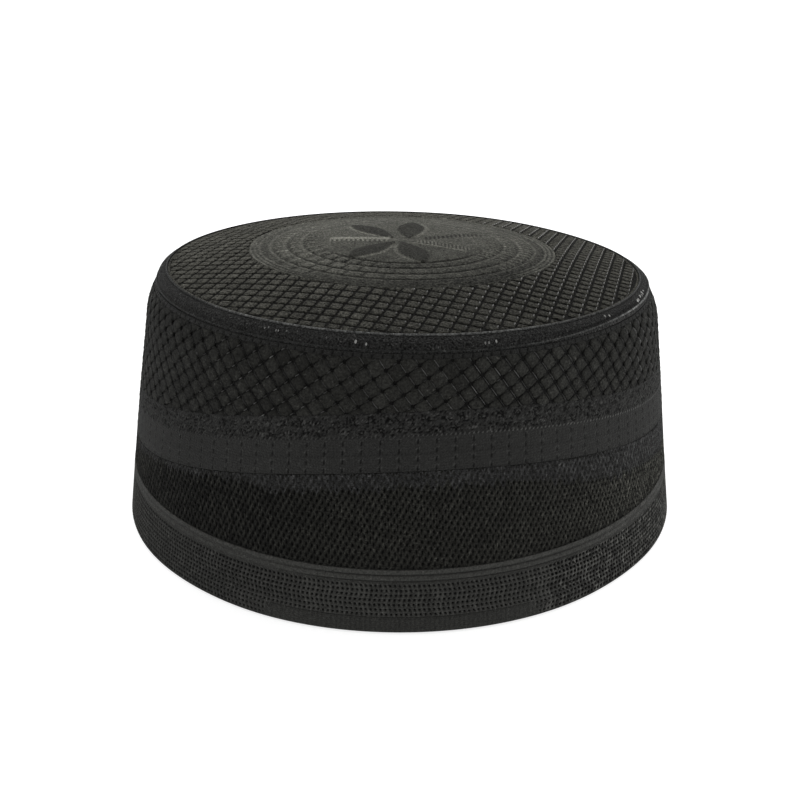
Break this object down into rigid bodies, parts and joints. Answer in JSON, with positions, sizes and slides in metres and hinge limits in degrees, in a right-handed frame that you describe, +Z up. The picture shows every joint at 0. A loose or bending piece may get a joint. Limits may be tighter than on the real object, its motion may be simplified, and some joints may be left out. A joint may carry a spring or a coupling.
{
  "type": "prayer cap",
  "caption": "Round knitted prayer cap with an eyelet hem, an open net band, a diamond-cell wall, a padded shoulder and a low domed top with a rosette.",
  "frame": {"origin": "centre of the hem's lower edge, on the surface that the cap stands on", "axes": "+Z up through the crown, -Y towards the front, +X to the right as the front is looked at"},
  "size_m": [0.1828, 0.1828, 0.0899],
  "materials": {
    "hem_knit": "matte ribbed knit",
    "net_knit": "matte open net",
    "lattice_knit": "satin raised knit",
    "piping_knit": "satin padded knit",
    "crown_knit": "satin raised knit"
  },
  "bodies": {
    "root": {"hem_band": "hem_knit", "mesh_band": "net_knit", "side_band": "lattice_knit", "rim_piping": "piping_knit", "top_panel": "crown_knit"}
  },
  "joints": []
}
